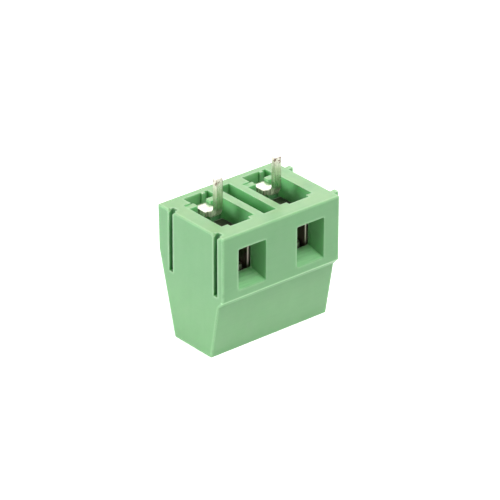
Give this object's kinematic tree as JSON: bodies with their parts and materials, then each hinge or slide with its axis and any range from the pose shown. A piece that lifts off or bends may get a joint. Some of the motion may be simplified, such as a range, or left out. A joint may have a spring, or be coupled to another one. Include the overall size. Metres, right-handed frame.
{
  "type": "pcb screw terminal",
  "caption": "Green screw terminal block for a circuit board, with solder pins, wire windows, clamping cages and interlocking ends.",
  "frame": {"origin": "on the board's seating plane, in the middle of the row of pins", "axes": "+X along the poles to the end with the ribs, +Y away from the wire side, +Z out of the board side along the pins"},
  "size_m": [0.0156, 0.0101, 0.0177],
  "materials": {
    "housing": "satin green nylon",
    "contacts": "bright tin plating on copper alloy",
    "cages": "dull plated sheet steel",
    "screws": "zinc plated"
  },
  "bodies": {
    "housing": {"housing": "housing", "contact_left": "contacts", "contact_right": "contacts"},
    "screw_left": {"screw_left": "screws"},
    "cage_left": {"cage_left": "cages"},
    "screw_right": {"screw_right": "screws"},
    "cage_right": {"cage_right": "cages"}
  },
  "joints": [
    {"name": "cage_left_slide", "type": "slide", "parent": "housing", "child": "cage_left", "axis": [0, 0, -1], "range_m": [0, 0.003]},
    {"name": "screw_left_turn", "type": "hinge", "parent": "housing", "child": "screw_left", "pos_m": [-0.00375, -0.0007, -0.009], "axis": [0, 0, 1], "range_deg": [0, 2400]},
    {"name": "cage_right_slide", "type": "slide", "parent": "housing", "child": "cage_right", "axis": [0, 0, -1], "range_m": [0, 0.003]},
    {"name": "screw_right_turn", "type": "hinge", "parent": "housing", "child": "screw_right", "pos_m": [0.00375, -0.0007, -0.009], "axis": [0, 0, 1], "range_deg": [0, 2400]}
  ],
  "couplings": [
    {"joint": "screw_left_turn", "follows": "cage_left_slide", "rad_per_m": 13962},
    {"joint": "screw_right_turn", "follows": "cage_right_slide", "rad_per_m": 13962}
  ]
}
